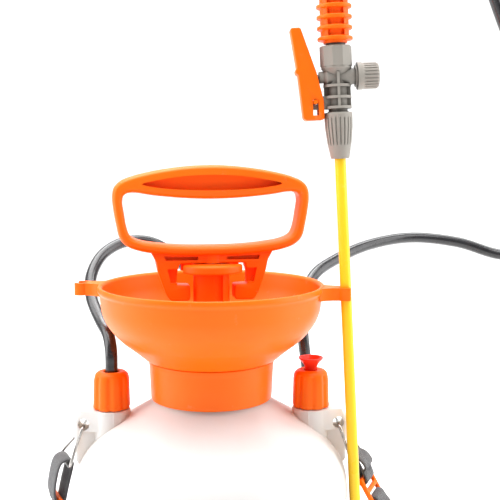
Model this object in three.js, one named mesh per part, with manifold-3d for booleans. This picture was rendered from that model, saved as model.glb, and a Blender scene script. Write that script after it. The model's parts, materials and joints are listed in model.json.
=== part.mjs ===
// A 5 litre shoulder pressure sprayer. Millimetres, +Z up, front towards -Y, ground at Z = 0.
import * as THREE from "three";
import { mergeVertices } from "three/addons/utils/BufferGeometryUtils.js";
import Module from "manifold-3d";

const wasm = await Module();
wasm.setup();

// Driving dimensions
const GAP = 0.3; // clearance between neighbouring pieces
const TANK_R = 94; // outer radius of the tank's body
const WALL = 2.5; // tank wall
const CUP_TOP = 30; // height of the base cup
const LUG_TOP = 254; // flat top of the side lugs
const LUG_HALF = 7; // half thickness of a lug at its outer end
const PORT_X = 69; // ports and cap nuts, from the tank's axis
const STUB_TOP = 262; // top of each threaded port
const HOLE_X = 87.5; // strap hole, from the tank's axis
const HOLE_Z = 244.5;
const NECK_TOP = 288; // top of the tank's neck
const RIM_Z = 340; // top of the funnel
const COLLAR_TURN = THREE.MathUtils.degToRad(-9.55); // funnel ears, from the X axis
const EAR_R = 92.3; // clip centre, from the tank's axis
const COLLAR_TOP = 288.7; // shoulder that carries the funnel
const SPIGOT_R = 41.5;
const FLANGE_TOP = 295.2; // the collar's flange, which the barrel hangs from
const BARREL_R = 20;
const BARREL_BORE = 17.6;
const BARREL_FOOT = 46;
const GUIDE_END = 235; // lower end of the rod guide: it stops the piston
const ROD_R = 5.5;
const DISC_LOW = 348.5; // locking disc on the pump neck
const DISC_TOP = 354.5;
const HANDLE_TURN = THREE.MathUtils.degToRad(8);
const HANDLE_DEPTH = 20;
const HOOK_HALF = 7; // half depth of the handle's hooked legs
const LANCE_R = 3.75;
const LANCE_FOOT = new THREE.Vector3(105.4, -21, 20); // a point on the lance's axis
const LANCE_AIM = new THREE.Vector3(-27.9, 11, 620).normalize();
const GUN_START = 407; // lower end of the lance nut, along the lance from its foot point
const PLUNGER_G = 55; // axis of the plunger and side cap, along the gun
const PIVOT_X = -15.5; // trigger pin
const PIVOT_G = 38.5;
const HOSE_R = 4.4;
const WEB_WIDTH = 20;
const WEB_THICK = 1.6;
const LINK_BAR = [101, 217.3]; // lower bar of the strap's wire link
const LINK_R = 1.1;
const SLIDER_X = 107;
const SLIDER_TOP = { left: 194, right: 206 };
const SLIDER_TILT = { left: 0, right: THREE.MathUtils.degToRad(30) }; // how far a slider's foot swings out
const STRAP_TURN = THREE.MathUtils.degToRad(22); // the strap's ends face a little to the front
const STRAP_SET_BACK = 1.2;
const SLIDER_HIGH = 20;

const COLOURS = {
  tank: 0xf1ece6,
  orange: 0xff8a2a,
  red: 0xf4412c,
  yellow: 0xf2d538,
  grey: 0xa5a096,
  rubber: 0x2a2a2c,
  hose: 0x3c3c3f,
  webbing: 0x4c4c4e,
  steel: 0xb9b9bc,
};

// Geometry helpers

function toSolid(geometry) {
  const bare = new THREE.BufferGeometry();
  bare.setAttribute("position", geometry.getAttribute("position"));
  bare.setIndex(geometry.index);
  const merged = mergeVertices(bare, 1e-3);
  const corners = merged.index.array;
  const kept = [];
  for (let i = 0; i < corners.length; i += 3) {
    const [a, b, c] = corners.slice(i, i + 3);
    if (a !== b && b !== c && c !== a) kept.push(a, b, c);
  }
  return new wasm.Manifold(
    new wasm.Mesh({
      numProp: 3,
      vertProperties: merged.getAttribute("position").array,
      triVerts: new Uint32Array(kept),
    }),
  );
}

function toGeometry(solid) {
  const mesh = solid.getMesh();
  const geometry = new THREE.BufferGeometry();
  geometry.setAttribute("position", new THREE.BufferAttribute(mesh.vertProperties, 3));
  geometry.setIndex(new THREE.BufferAttribute(mesh.triVerts, 1));
  return geometry;
}

function join(first, ...others) {
  return toGeometry(others.reduce((sum, next) => sum.add(toSolid(next)), toSolid(first)));
}

function cut(first, ...tools) {
  return toGeometry(tools.reduce((left, tool) => left.subtract(toSolid(tool)), toSolid(first)));
}

function meet(first, second) {
  return toGeometry(toSolid(first).intersect(toSolid(second)));
}

// A turned piece about Z. The profile runs [radius, height] up the outside and down the inside.
function turned(profile, segments = 20) {
  const onAxis = profile[0][0] === 0 && profile.at(-1)[0] === 0;
  const line = onAxis ? profile : [...profile, profile[0]];
  const points = line.map(([r, z]) => new THREE.Vector2(r, z));
  return new THREE.LatheGeometry(points, segments).rotateX(Math.PI / 2);
}

function rod(radius, low, high, segments = 16) {
  return turned([[0, low], [radius, low], [radius, high], [0, high]], segments);
}

function pipe(outer, inner, low, high, segments = 16) {
  return turned([[outer, low], [outer, high], [inner, high], [inner, low]], segments);
}

function box([x0, x1], [y0, y1], [z0, z1]) {
  const block = new THREE.BoxGeometry(x1 - x0, y1 - y0, z1 - z0);
  return block.translate((x0 + x1) / 2, (y0 + y1) / 2, (z0 + z1) / 2);
}

function alongX(geometry) {
  return geometry.rotateY(Math.PI / 2);
}

function alongY(geometry) {
  return geometry.rotateX(-Math.PI / 2);
}

function shapeOf(outline, holes = []) {
  const shape = new THREE.Shape(outline.map(([x, y]) => new THREE.Vector2(x, y)));
  holes.forEach((hole) =>
    shape.holes.push(new THREE.Path(hole.map(([x, y]) => new THREE.Vector2(x, y)))),
  );
  return shape;
}

// An outline in X and Z, given a depth along Y about Y = 0, with rounded edges when round > 0.
function slab(outline, depth, { holes = [], round = 0, edge = round } = {}) {
  const flat = depth - 2 * round;
  const geometry = new THREE.ExtrudeGeometry(shapeOf(outline, holes), {
    depth: flat,
    bevelEnabled: round > 0,
    bevelThickness: round,
    bevelSize: edge,
    bevelOffset: -edge,
    bevelSegments: 2,
  });
  return geometry.rotateX(Math.PI / 2).translate(0, flat / 2, 0);
}

// An outline in X and Y, given a height along Z.
function plate(outline, low, high) {
  const geometry = new THREE.ExtrudeGeometry(shapeOf(outline), {
    depth: high - low,
    bevelEnabled: false,
  });
  return geometry.translate(0, 0, low);
}

function mirrored(half) {
  const other = half.slice(1, -1).reverse();
  return [...half, ...other.map(([x, z]) => [-x, z])];
}

function smoothed(outline, count) {
  const points = outline.map(([x, y]) => new THREE.Vector3(x, y, 0));
  const curve = new THREE.CatmullRomCurve3(points, true, "centripetal");
  return curve.getSpacedPoints(count).slice(0, -1).map((p) => [p.x, p.y]);
}

// Rounded lobes with a groove between each two.
function lobed(radius, depth, lobes, steps = 6) {
  const count = lobes * steps;
  return Array.from({ length: count }, (_, i) => {
    const turn = (i / count) * 2 * Math.PI;
    const groove = Math.abs(Math.cos((turn * lobes) / 2)) ** 4;
    const r = radius - depth * groove;
    return [r * Math.cos(turn), r * Math.sin(turn)];
  });
}

function around(count, make) {
  return Array.from({ length: count }, (_, i) => make((i / count) * 2 * Math.PI));
}

function wire(points, radius, { sides = 6, steps = 30, closed = false } = {}) {
  const circle = around(sides, (a) => [radius * Math.cos(a), radius * Math.sin(a)]);
  const route = points.map((p) => new THREE.Vector3(...p));
  const path = new THREE.CatmullRomCurve3(route, closed, "centripetal");
  return new THREE.ExtrudeGeometry(shapeOf(circle), { steps, extrudePath: path, bevelEnabled: false });
}

function coil(radius, wireRadius, low, high, turns) {
  const count = turns * 8;
  const points = Array.from({ length: count + 1 }, (_, i) => {
    const turn = (i / 8) * 2 * Math.PI;
    const z = low + wireRadius + ((high - low - 2 * wireRadius) * i) / count;
    return [radius * Math.cos(turn), radius * Math.sin(turn), z];
  });
  return wire(points, wireRadius, { sides: 5, steps: turns * 9 });
}

function named(name, geometry, colour, roughness = 0.45, metalness = 0) {
  const material = new THREE.MeshStandardMaterial({ color: colour, roughness, metalness });
  const mesh = new THREE.Mesh(toGeometry(toSolid(geometry)), material);
  mesh.name = name;
  return mesh;
}

function groupOf(...children) {
  const group = new THREE.Group();
  group.add(...children);
  return group;
}

function alongLance(geometry) {
  const turn = new THREE.Quaternion().setFromUnitVectors(new THREE.Vector3(0, 0, 1), LANCE_AIM);
  return geometry.applyQuaternion(turn).translate(LANCE_FOOT.x, LANCE_FOOT.y, LANCE_FOOT.z);
}

// Tank

const DOME = [
  [TANK_R, 201], [93, 211], [90.4, 218.5], [86, 226.6], [79.5, 234], [71, 242], [53, 252], [38, 261],
];

function tankOutside() {
  const foot = [[0, 3.3], [70, 3.3], [84, 6], [88.2, 12], [88.2, CUP_TOP + 0.6], [TANK_R, CUP_TOP + 1.4]];
  const thread = [[38, 270], [39, 272], [38, 274]];
  return turned([...foot, ...DOME, ...thread, [38, NECK_TOP], [0, NECK_TOP]], 28);
}

function tankInside() {
  const floor = [[0, 5.8], [69, 5.8], [83, 9], [85.7, 13], [85.7, 32.4], [TANK_R - WALL, 33.8]];
  const dome = [[TANK_R - WALL, 200.5], [88, 217], [77.3, 232], [69.4, 239.4], [34, 258]];
  return turned([...floor, ...dome, [34, NECK_TOP + 5], [0, NECK_TOP + 5]], 28);
}

// A side lug with its boss and threaded port, on the +X side.
function lugOutside() {
  const wing = [
    [60, 226], [90, 216], [92.6, 218], [94, 236], [94, 248], [91.5, 252.8], [88, LUG_TOP], [60, LUG_TOP],
  ];
  const boss = turned([[0, 228], [13, 228], [13, LUG_TOP - 1], [12, LUG_TOP], [0, LUG_TOP]], 20);
  const fillet = [[66, -13], [80, -9.5], [90, -LUG_HALF], [90, LUG_HALF], [80, 9.5], [66, 13]];
  return join(
    slab(wing, 2 * LUG_HALF, { round: 1.2 }),
    boss.translate(PORT_X, 0, 0),
    plate(fillet, 240, LUG_TOP),
    rod(8.5, LUG_TOP - 1, STUB_TOP).translate(PORT_X, 0, 0),
  );
}

function tankShell() {
  const lug = lugOutside();
  const tools = [tankInside()];
  for (const side of [-1, 1]) {
    tools.push(rod(4.6, 225, STUB_TOP + 2).translate(side * PORT_X, 0, 0));
    tools.push(alongY(rod(4, -20, 20)).translate(side * HOLE_X, 0, HOLE_Z));
  }
  const outside = join(tankOutside(), lug, lug.clone().rotateZ(Math.PI));
  return named("tank_shell", cut(outside, ...tools), COLOURS.tank, 0.4);
}

// The cup under the tank, with the socket that holds the lance's nozzle.
function baseFoot() {
  const outside = [[0, 0], [88, 0], [91, 1.5], [TANK_R, 7], [TANK_R, CUP_TOP]];
  const inside = [[88.7, CUP_TOP], [88.7, 11.6], [84.5, 5.4], [70.2, 3], [0, 3]];
  const socket = rod(10, 0, 26).translate(LANCE_FOOT.x, LANCE_FOOT.y, 0);
  const web = plate([[91, -6], [108, -8], [108, 8], [91, 6]], 0, 20).rotateZ(COLLAR_TURN * 1.18);
  const cup = join(turned([...outside, ...inside], 32), socket, web);
  const bore = alongLance(rod(6.9, -15, 20));
  const drain = rod(2, -5, 10).translate(LANCE_FOOT.x + 0.6, LANCE_FOOT.y, 0);
  return named("base_foot", cut(cup, bore, drain), COLOURS.orange);
}

// Funnel and pump

function funnelEar(angle) {
  const arm = [[76, -10], [84, -6.4], [90, -5.6], [90, 5.6], [84, 6.4], [76, 10]];
  const ring = rod(7, RIM_Z - 9, RIM_Z - 0.5).translate(EAR_R, 0, 0);
  const mouth = box([EAR_R, EAR_R + 10], [-3.1, 3.1], [RIM_Z - 12, RIM_Z + 3]);
  const tips = box([EAR_R + 3.6, EAR_R + 12], [-12, 12], [RIM_Z - 12, RIM_Z + 3]);
  return cut(join(plate(arm, RIM_Z - 9, RIM_Z - 0.5), ring), mouth, tips).rotateZ(angle);
}

// The nut that clamps the pump on the tank's neck, with a spigot that holds the funnel.
function funnelCollar() {
  const profile = [
    [41.7, STUB_TOP], [42.8, 284], [43.6, COLLAR_TOP], [SPIGOT_R, COLLAR_TOP], [SPIGOT_R, FLANGE_TOP],
    [24, FLANGE_TOP], [24, 291], [39.5, 291], [39.5, STUB_TOP],
  ];
  return named("funnel_collar", turned(profile, 32), COLOURS.orange);
}

function funnelBowl() {
  const foot = COLLAR_TOP + GAP;
  const socket = SPIGOT_R + GAP;
  const outside = [
    [socket, foot], [44.6, foot], [53.5, 296.5], [61, 302], [66.6, 307.6],
    [71.8, 314.4], [75, 322], [76.5, 335], [78, 336.8], [77.4, RIM_Z],
  ];
  const inside = [
    [75.6, RIM_Z], [74.4, 338.6], [73, 325], [69, 316], [60, 306.4], [45.6, FLANGE_TOP], [socket, FLANGE_TOP],
  ];
  const ears = [0, Math.PI].map((turn) => funnelEar(turn + COLLAR_TURN));
  const body = join(turned([...outside, ...inside], 32), ...ears);
  const spare = rod(4.4, RIM_Z - 12, RIM_Z + 3).translate(EAR_R, 0, 0).rotateZ(Math.PI + COLLAR_TURN);
  return named("funnel_bowl", cut(body, alongLance(rod(4.4, 290, 340)), spare), COLOURS.orange);
}

function pumpBarrel() {
  const profile = [
    [BARREL_R, BARREL_FOOT], [BARREL_R, 286], [23.6, 288], [23.6, 297.6], [30, 297.6], [30, 301],
    [BARREL_BORE, 301], [BARREL_BORE, BARREL_FOOT],
  ];
  return named("pump_barrel", turned(profile, 24), COLOURS.tank, 0.5);
}

function barrelFoot() {
  const disc = [
    [0, 40], [BARREL_R, 40], [BARREL_R, 45.7], [17.2, 45.7], [17.2, 50], [14.5, 50], [14.5, 44], [0, 44],
  ];
  const inlets = around(4, (a) => rod(2, 35, 47, 6).translate(7 * Math.cos(a), 7 * Math.sin(a), 0));
  return named("barrel_foot", cut(turned(disc), rod(2.2, 35, 47), ...inlets), COLOURS.grey);
}

function checkValveFlap() {
  const profile = [
    [0, 38.2], [9.5, 38.6], [11, 39.7], [1.8, 39.7], [1.8, 44.4], [3.2, 44.6], [1.6, 49], [0, 49],
  ];
  return named("check_valve_flap", turned(profile, 20), COLOURS.rubber, 0.8);
}

// Rod guide, neck and the notched disc that the handle's hooks turn under.
function pumpNeck() {
  const profile = [
    [7.6, GUIDE_END], [9, GUIDE_END + 1.5], [9, 292], [17.2, 292], [17.2, 301.3], [27, 301.3], [27, 303],
    [25.5, 304], [14.5, 304], [12.5, 306], [12.5, DISC_LOW], [21.4, DISC_LOW], [22, DISC_LOW + 0.8],
    [22, DISC_TOP - 1], [21, DISC_TOP], [ROD_R + 0.4, DISC_TOP], [ROD_R + 0.4, GUIDE_END],
  ];
  const notch = (side) => box([side > 0 ? 13.1 : -30, side > 0 ? 30 : -13.1], [-8.2, 8.2], [340, 360]);
  const groove = box([-2.9, 2.9], [-14, -10.3], [306, DISC_LOW]).rotateZ(THREE.MathUtils.degToRad(18));
  const mesh = named("pump_neck", cut(turned(profile, 24), notch(1), notch(-1), groove), COLOURS.orange);
  mesh.rotation.z = HANDLE_TURN;
  return mesh;
}

const RECESS = mirrored([
  [0, 405], [20, 405.4], [38, 407], [48, 409.4], [40, 411.6], [20, 414.6], [0, 415.6],
]);

function handleLoop() {
  const outer = mirrored([
    [0, 360], [20, 360.4], [38, 362], [50, 364.3], [58, 367.5], [62.6, 372.5], [64.8, 381], [66.6, 391],
    [67.5, 400], [66.4, 406.5], [62.4, 411], [55, 414.3], [42, 417.6], [28, 420], [14, 421.5], [0, 422],
  ]);
  const window = mirrored([
    [0, 367], [20, 367.4], [38, 369], [50, 371.3], [55.6, 374.4], [58, 380], [59.8, 390], [60.8, 397.6],
    [59.6, 402], [55, 403.6], [40, 401.6], [20, 399.7], [0, 399],
  ]);
  const options = { holes: [smoothed(window, 26)], round: 5, edge: 2.6 };
  return slab(smoothed(outer, 34), HANDLE_DEPTH, options);
}

function handleLegs() {
  const half = [
    [0, 355], [22.6, 355], [23.8, 349], [24.3, 340.4], [15.4, 340], [15.2, 331], [16.6, 329.6], [28, 329.6],
    [29.8, 331], [31.8, 334.5], [34.2, 341], [37.2, 350], [38.6, 357], [42, 363], [0, 363],
  ];
  return slab(mirrored(half), 2 * HOOK_HALF, { round: 1 });
}

// A pocket 4.5 mm deep in a leg's front or back, from an outline on the +X side.
function legPocket(outline, side, face) {
  const depth = 8;
  const points = outline.map(([x, z]) => [side * x, z]);
  const pocket = slab(side > 0 ? points : points.reverse(), depth);
  return pocket.translate(0, face * (HOOK_HALF - 4.5 + depth / 2), 0);
}

function pumpHandle() {
  const lens = slab(RECESS, 14);
  const band = [[10, 357.4], [10, 359.8], [33, 360.4], [32, 357.4]];
  const strip = [[20, 341.8], [28.6, 341.8], [30.8, 351.6], [20, 351.6]];
  const tools = [rod(ROD_R + 0.4, 350, 364.4, 20)];
  for (const face of [-1, 1]) {
    tools.push(lens.clone().translate(0, face * (HANDLE_DEPTH / 2 + 0.5), 0));
    for (const side of [-1, 1]) {
      tools.push(legPocket(band, side, face), legPocket(strip, side, face));
    }
  }
  const boss = rod(8.2, DISC_TOP + 0.5, 365, 24);
  return named("pump_handle", cut(join(handleLoop(), handleLegs(), boss), ...tools), COLOURS.orange);
}

function pistonPieces() {
  const head = [
    [0, 56], [15, 56], [16.6, 57.5], [16.6, 61], [12, 61], [12, 70], [16.6, 70], [16.6, 73], [15.4, 74.5],
    [ROD_R + 0.4, 74.5], [ROD_R + 0.4, 60.5], [0, 60.5],
  ];
  const cup = [[12.3, 61.3], [15.6, 61.3], [17.3, 69], [16.9, 69.6], [15, 66], [12.3, 66]];
  const pieces = groupOf(
    named("piston_rod", rod(ROD_R, 60.8, 364.1, 20), COLOURS.steel, 0.3, 0.9),
    named("piston_head", turned(head, 20), COLOURS.grey),
    named("piston_cup", turned(cup, 20), COLOURS.rubber, 0.8),
    pumpHandle(),
  );
  pieces.rotation.z = HANDLE_TURN;
  return pieces;
}

function pumpGroup() {
  return groupOf(
    funnelCollar(),
    funnelBowl(),
    named("neck_gasket", pipe(38, 34.4, NECK_TOP + GAP, 290.7, 24), COLOURS.rubber, 0.8),
    pumpBarrel(),
    named("barrel_gasket", pipe(28.6, 24.4, 295.5, 297.3, 24), COLOURS.rubber, 0.8),
    barrelFoot(),
    checkValveFlap(),
    pumpNeck(),
    pistonPieces(),
  );
}

// Ports: cap nuts with the hose outlet on the left and the relief valve on the right

function capNut(shoulder, hole) {
  const outside = [[12.9, LUG_TOP + 0.4], [12.4, 274], [11.4, 278], [9, 280]];
  const inside = [[hole, 280], [hole, shoulder], [8.8, shoulder], [8.8, LUG_TOP + 0.4]];
  const flutes = plate(lobed(12.5, 1, 8, 4), LUG_TOP, 281);
  return meet(turned([...outside, ...inside], 16), flutes);
}

function outletPort() {
  const barb = [
    [3, 238], [3, 264.3], [8.3, 264.3], [8.3, 267], [3, 267], [3.4, 269], [3, 270], [3.4, 271.5],
    [2.9, 272.6], [1.5, 272.6], [1.5, 238],
  ];
  const slots = [0, Math.PI / 2].map((a) => box([-10, 10], [-1, 1], [11.5, 17]).rotateZ(a));
  const basket = [[0, 9], [6.2, 9], [6.6, 10], [6.6, 22], [4.6, 22], [4.6, 11], [0, 11]];
  const port = groupOf(
    named("outlet_nut", capNut(267.3, 5.1), COLOURS.orange),
    named("outlet_gasket", pipe(8.3, 5, STUB_TOP + GAP, 264), COLOURS.rubber, 0.8),
    named("outlet_barb", turned(barb, 12), COLOURS.grey),
    named("dip_tube", pipe(4.2, 3.3, 11.4, 262, 16), COLOURS.tank, 0.4),
    named("dip_strainer", cut(turned(basket, 20), ...slots), COLOURS.grey),
  );
  port.position.x = -PORT_X;
  return port;
}

function reliefPort() {
  const knob = [
    [0, 266.4], [6, 266.4], [6, 268.2], [4.2, 268.2], [4.2, 281.5], [4.7, 283], [6.6, 285.6], [8.5, 287.6],
    [8.6, 288.5], [7.4, 288.5], [3.4, 284.4], [0, 284],
  ];
  const port = groupOf(
    named("relief_nut", capNut(277, 4.6), COLOURS.orange),
    named("relief_seat", pipe(8.3, 2.6, STUB_TOP + GAP, 264.4), COLOURS.grey),
    named("relief_seal", rod(5.6, 264.7, 266.1, 20), COLOURS.rubber, 0.8),
    named("relief_knob", turned(knob, 16), COLOURS.red),
    named("relief_spring", coil(6.1, 0.5, 268.6, 276.7, 3), COLOURS.steel, 0.3, 0.9),
  );
  port.position.x = PORT_X;
  return port;
}

// Lance: heights run up the lance from its foot point

function lanceGroup() {
  const body = [
    [3.9, -6], [3.9, 4], [5.4, 4.4], [5.6, 8], [5, 9.5], [5, 22], [4.05, 22], [4.05, 12], [1.2, 11], [1.2, -6],
  ];
  const tip = [
    [5.2, -12], [6, -10.8], [6, 2.3], [4.25, 2.3], [4.25, -7], [0.7, -9], [0.7, -10], [2.6, -12],
  ];
  return [
    named("lance_tube", pipe(LANCE_R, 2.6, 12.3, 442, 20), COLOURS.yellow, 0.35),
    named("nozzle_body", turned(body, 14), COLOURS.grey),
    named("nozzle_oring", pipe(5.4, 4.2, 2.6, 3.7, 20), COLOURS.rubber, 0.8),
    named("nozzle_tip", meet(turned(tip, 16), plate(lobed(6.2, 0.8, 8, 3), -13, 3)), COLOURS.orange),
  ];
}

// Gun: heights run up the same axis from the lower end of the lance nut; -X is the trigger side

function lanceNut() {
  const profile = [
    [5.9, 0], [6.4, 1], [8.2, 11], [9.3, 21], [9.5, 30], [9.2, 31], [7.6, 31], [7.6, 14], [4.15, 12], [4.15, 0],
  ];
  const flutes = around(12, (a) => box([8.6, 12], [-0.9, 0.9], [10, 27.5]).rotateZ(a));
  return cut(turned(profile, 12), ...flutes);
}

function valveBody() {
  const core = turned([
    [0, 20.1], [7.2, 20.1], [7.2, 31.3], [6.4, 32], [6.4, 56], [10.2, 60.5], [10.2, 63.5], [6.4, 75.5],
    [6.4, 84], [0, 84],
  ], 14);
  const collar = turned([[0, 62], [10.8, 62], [10.8, 75], [10.3, 75.6], [0, 75.6]], 10);
  const ribs = [34.4, 41.3, 49].map((g) => rod(9.3, g - 0.9, g + 0.9, 14));
  const fins = [box([-0.9, 0.9], [-9, 9], [33.6, 56]), box([-9, 9], [-0.9, 0.9], [33.6, 56])];
  const ear = box([PIVOT_X - 3, -5], [-3.8, 3.8], [33.6, 42.2]);
  const arm = [[0, -12], [4, -12], [4, -9], [6.4, -7], [6.4, 7], [5.2, 11.8], [5.2, 19], [0, 19]];
  const branch = alongX(turned(arm, 16));
  const bores = [
    rod(4.15, 19, 35.5),
    rod(2.2, 35, 85, 10),
    alongX(rod(2.4, -13, 5, 12)).translate(0, 0, PLUNGER_G),
    alongX(rod(3.6, 4, 20, 12)).translate(0, 0, PLUNGER_G),
    alongX(rod(3.4, -13, -9.4, 12)).translate(0, 0, PLUNGER_G),
    alongY(rod(1.9, -6, 6, 12)).translate(PIVOT_X, 0, PIVOT_G),
  ];
  return cut(join(core, collar, ...ribs, ...fins, ear, branch.translate(0, 0, PLUNGER_G)), ...bores);
}

function triggerLever() {
  const outline = [
    [-22.4, 26.2], [-10.9, 26.4], [-9.9, 27.4], [-9.9, 39], [-14, 58], [-23.3, 87.6], [-24.2, 88.4],
    [-29.4, 88.4], [-30.3, 87.4], [-26.4, 58], [-24, 28],
  ];
  const channel = [[-21.8, 28.4], [5, 28.4], [5, 86.2], [-28.1, 86.2], [-24.2, 58]];
  const left = PIVOT_X - 1.9;
  const right = PIVOT_X + 1.9;
  const slot = [[left, 29.5], [right, 29.5], [right, PIVOT_G], [left, PIVOT_G]];
  const body = slab(outline, 12.8, { round: 0.8 });
  const hole = alongY(rod(1.9, -9, 9, 12)).translate(PIVOT_X, 0, PIVOT_G);
  return cut(body, slab(channel, 8.8), slab(slot, 20), hole);
}

function plungerPieces() {
  const plunger = [[0, -23.6], [1.4, -23.6], [2, -23], [2, 4.9], [3.1, 4.9], [3.1, 6.9], [0, 6.9]];
  const cap = [[0, 19.6], [5.6, 19.6], [5.6, 13.6], [9.3, 13.6], [9.3, 26.6], [8.2, 27.9], [0, 27.9]];
  const flutes = around(12, (a) => box([8.7, 12], [-0.8, 0.8], [17.4, 28]).rotateZ(a));
  const pieces = groupOf(
    named("valve_plunger", alongX(turned(plunger, 12)), COLOURS.grey),
    named("plunger_oring", alongX(pipe(3.1, 2.3, -11.6, -9.8, 12)), COLOURS.rubber, 0.8),
    named("valve_spring", alongX(coil(2.5, 0.4, 7.3, 19.2, 4)), COLOURS.steel, 0.3, 0.9),
    named("side_cap_gasket", alongX(pipe(7.4, 5.6, 12.2, 13.3, 16)), COLOURS.grey),
    named("side_cap", alongX(cut(turned(cap, 12), ...flutes)), COLOURS.grey),
  );
  pieces.position.z = PLUNGER_G;
  return pieces;
}

const GRIP_LOW = 77.3;
const GRIP_TOP = 185;
const RIB_PITCH = 7.2;

function gripShell() {
  const outside = [[8, GRIP_LOW], [8, GRIP_LOW + 1.8]];
  for (let g = GRIP_LOW + 2; g < GRIP_TOP - RIB_PITCH; g += RIB_PITCH) {
    outside.push([11.9, g], [11.9, g + 2.2], [9.6, g + 2.8], [9.6, g + RIB_PITCH - 0.4]);
  }
  const top = [
    [10.8, GRIP_TOP - 6], [10.8, GRIP_TOP], [7.4, GRIP_TOP], [7.4, 196], [5.1, 196], [5.1, 181], [6.8, 179],
  ];
  return turned([...outside, ...top, [6.8, GRIP_LOW]], 10);
}

function gripPieces() {
  const strainer = [
    [6.4, 86], [6.4, 88], [4.4, 88], [4, 130], [0, 130], [0, 128.6], [3.2, 128.6], [3.4, 86],
  ];
  const slots = [96, 106, 116].map((g) => box([-8, 8], [-1, 1], [g, g + 6]));
  const barb = [
    [4.8, 188], [4.8, 196.3], [7.2, 196.3], [7.2, 198.6], [3, 198.6], [3.4, 200],
    [2.9, 201.4], [1.6, 201.4], [1.6, 188],
  ];
  const nut = [[10.4, 186], [10.4, 198], [7.4, 209], [4.9, 209], [4.9, 199], [7.8, 199], [7.8, 186]];
  return [
    named("grip_shell", gripShell(), COLOURS.orange),
    named("grip_strainer", cut(turned(strainer, 16), ...slots), COLOURS.grey),
    named("hose_barb", turned(barb, 12), COLOURS.grey),
    named("hose_tail_nut", meet(turned(nut, 16), plate(lobed(10.4, 0.8, 8, 3), 185, 210)), COLOURS.grey),
  ];
}

function wand() {
  const olive = [[4.15, 14.5], [5.6, 14.5], [7.2, 16.6], [7.2, 19.8], [4.15, 19.8]];
  const gun = groupOf(
    named("lance_nut", lanceNut(), COLOURS.grey),
    named("lance_olive", turned(olive), COLOURS.rubber, 0.8),
    named("valve_body", valveBody(), COLOURS.grey),
    named("trigger_lever", triggerLever(), COLOURS.orange),
    named("trigger_pin", alongY(rod(1.6, -7.2, 7.2, 12)).translate(PIVOT_X, 0, PIVOT_G), COLOURS.orange),
    plungerPieces(),
    ...gripPieces(),
  );
  gun.position.z = GUN_START;
  const group = groupOf(...lanceGroup(), gun);
  group.position.copy(LANCE_FOOT);
  group.quaternion.setFromUnitVectors(new THREE.Vector3(0, 0, 1), LANCE_AIM);
  return group;
}

// Hose: from the outlet nut, behind the tank, out to the right and over into the top of the grip

const HOSE_ROUTE = [
  [-69, 0, 273], [-69, 0, 284], [-69.3, 0.8, 293], [-72, 9, 302.5], [-79.7, 25, 311], [-88.5, 45, 324],
  [-91, 65, 338],
  [-84, 86, 352], [-68, 101, 359.5], [-47, 112, 357], [-24, 121, 338], [-8, 126, 300], [0, 127, 250],
  [12, 126, 200], [32, 122, 170], [56, 113, 172], [73, 98, 200], [77, 78, 238], [72, 63, 268],
  [69, 62, 296], [71, 72, 318], [81, 90, 334], [100, 107, 344], [130, 128, 353.5], [170, 148, 357.5],
  [212, 156, 352.5], [252, 151, 342], [284, 137, 353], [291, 115, 378], [281, 93, 410], [262, 77, 445],
  [240, 67, 485], [219, 60, 530], [198, 52, 580], [176, 42, 625], [153, 29, 660], [126, 13, 680],
  [100, 0, 679], [82.8, -7.4, 662], [77.5, -10, 644], [77.6, -10, 637], [78, -10.2, 628.9],
];

// Strap

// A point of the +X side's strap end, set on either side and turned about the link's lower bar.
function strapPoint(side, [x, y, z], share = 1) {
  const turned = new THREE.Vector3(x - LINK_BAR[0], y, 0);
  turned.applyAxisAngle(new THREE.Vector3(0, 0, 1), -STRAP_TURN * share);
  return [side * (turned.x + LINK_BAR[0]), turned.y, z];
}

// The point in X and Z once the slider's tilt has swung it about the slider's top.
function tilted([x, z], end) {
  const hinge = new THREE.Vector2(SLIDER_X, SLIDER_TOP[end]);
  const swung = new THREE.Vector2(x, z).rotateAround(hinge, SLIDER_TILT[end]);
  return [swung.x, swung.y];
}

function wireLink(side) {
  const [x, z] = LINK_BAR;
  const upper = [HOLE_X + 0.4, HOLE_Z - 1.6];
  const middle = [(upper[0] + x) / 2, (upper[1] + z) / 2];
  const half = [
    [upper[0], 0, upper[1], 0], [upper[0], 6.4, upper[1], 0], [upper[0] + 0.6, 8.8, upper[1] - 1.6, 0],
    [middle[0], 11, middle[1], 0.5], [x - 0.6, 13.4, z + 2.2, 1], [x, 12.2, z, 1], [x, 0, z, 1],
  ];
  const back = half.slice(1, -1).reverse().map(([px, py, pz, share]) => [px, -py, pz, share]);
  const points = [...half, ...back].map(([px, py, pz, share]) => strapPoint(side, [px, py, pz], share));
  return wire(points, LINK_R, { sides: 6, steps: 28, closed: true });
}

function grownOutline(outline, by) {
  return outline.map(([x, y], i) => {
    const [ax, ay] = outline.at(i - 1);
    const [bx, by2] = outline[(i + 1) % outline.length];
    const length = Math.hypot(bx - ax, by2 - ay);
    return [x + (by * (by2 - ay)) / length, y - (by * (bx - ax)) / length];
  });
}

function webLoop(end) {
  const top = SLIDER_TOP[end];
  const [x, z] = LINK_BAR;
  const lower = [
    [-2.3, -1], [-1.7, -3.5], [1.7, -3.5], [2.4, -1], [3.3, 4],
  ].map(([dx, dz]) => tilted([SLIDER_X + dx, top + dz], end));
  const upper = [
    [x + 8.3, (top + z + 3) / 2], [x + 4.9, z + 0.5], [x + 0.7, z + 2.1],
    [x - 1.7, z + 0.7], [x - 1.5, z - 1.9], [x + 1.5, (top + z - 5) / 2],
  ];
  const inner = smoothed([...lower, ...upper], 36);
  return slab(grownOutline(inner, WEB_THICK), WEB_WIDTH, { holes: [inner] });
}

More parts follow.
